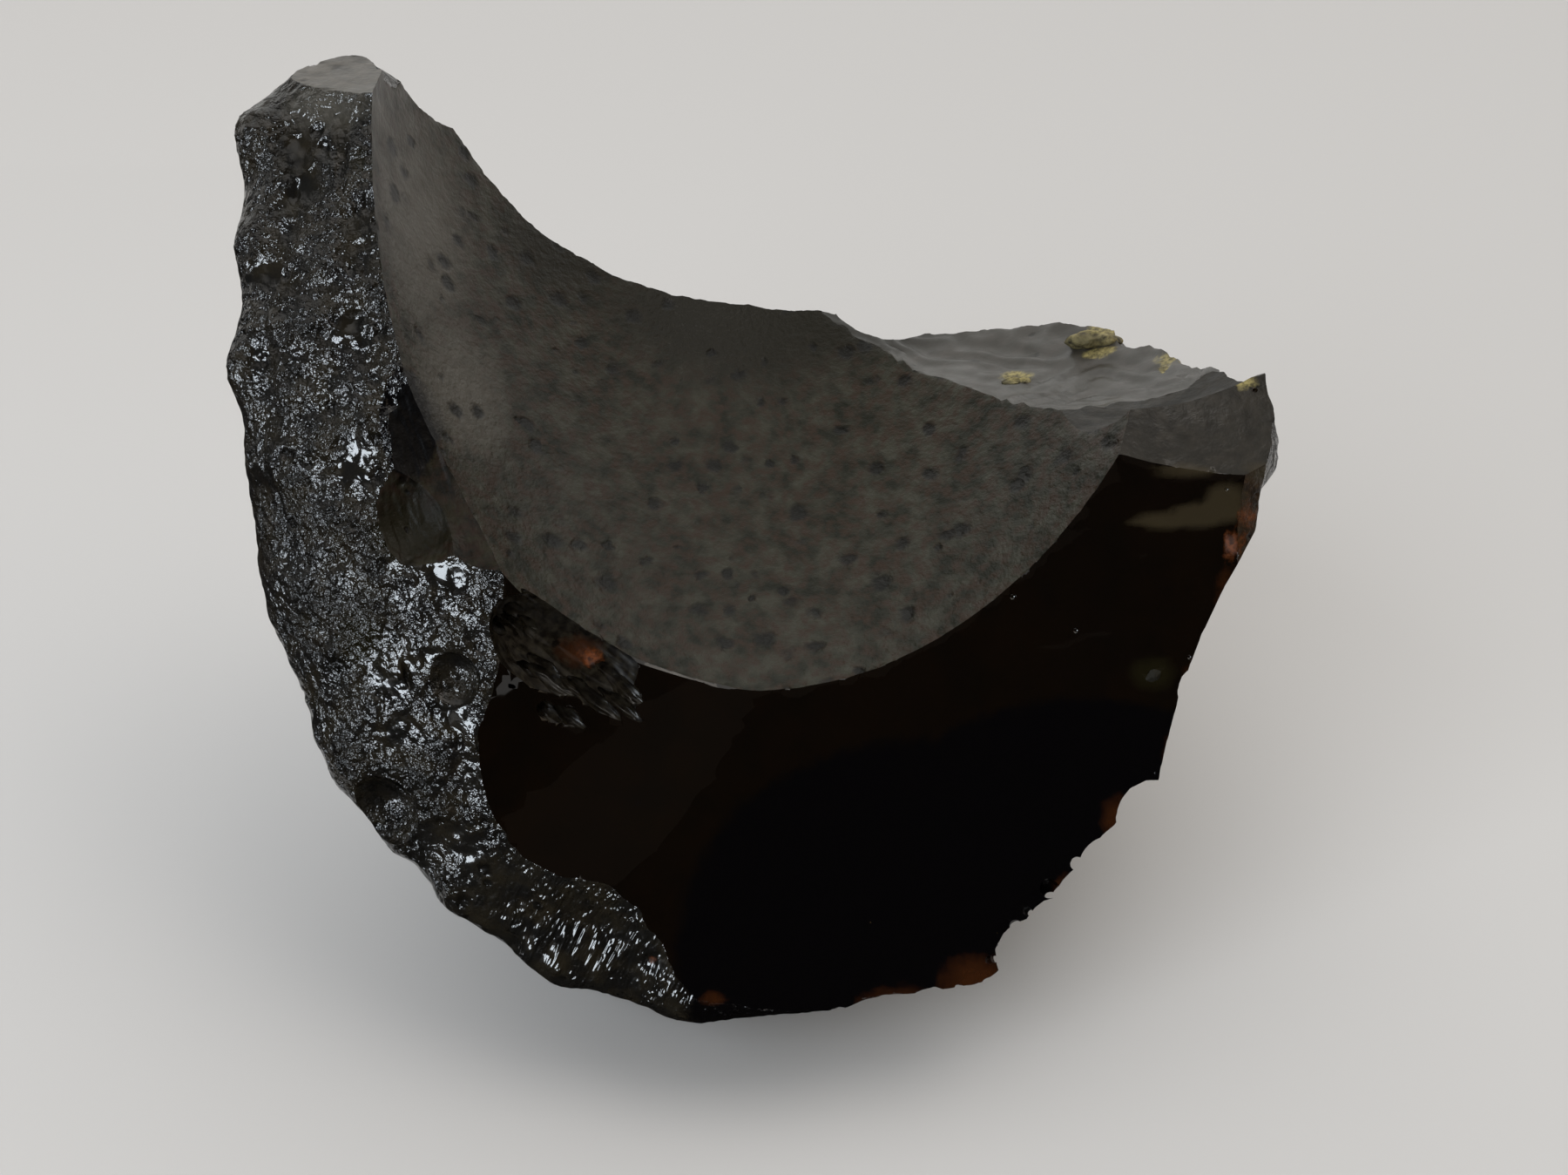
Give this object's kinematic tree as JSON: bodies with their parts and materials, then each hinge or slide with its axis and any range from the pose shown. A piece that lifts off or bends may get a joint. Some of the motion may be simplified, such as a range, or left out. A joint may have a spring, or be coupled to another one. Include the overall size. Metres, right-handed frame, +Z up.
{
  "type": "indochinite tektite",
  "caption": "Broken lump of natural black glass with an etched, pitted skin, a smooth bowl-shaped hollow and a fresh glossy break.",
  "frame": {"origin": "centre of the bounding box's base, on the surface that the stone rests on", "axes": "+Z up; the fresh break faces -Y and leans back towards +Y; the tall horn is at -X and the broken tip at +X"},
  "size_m": [0.0568, 0.0482, 0.049],
  "materials": {
    "black_glass": "opaque black natural glass: dull etched skin, matte hollow, glossy fresh breaks"
  },
  "bodies": {
    "root": {"tektite": "black_glass"}
  },
  "joints": []
}
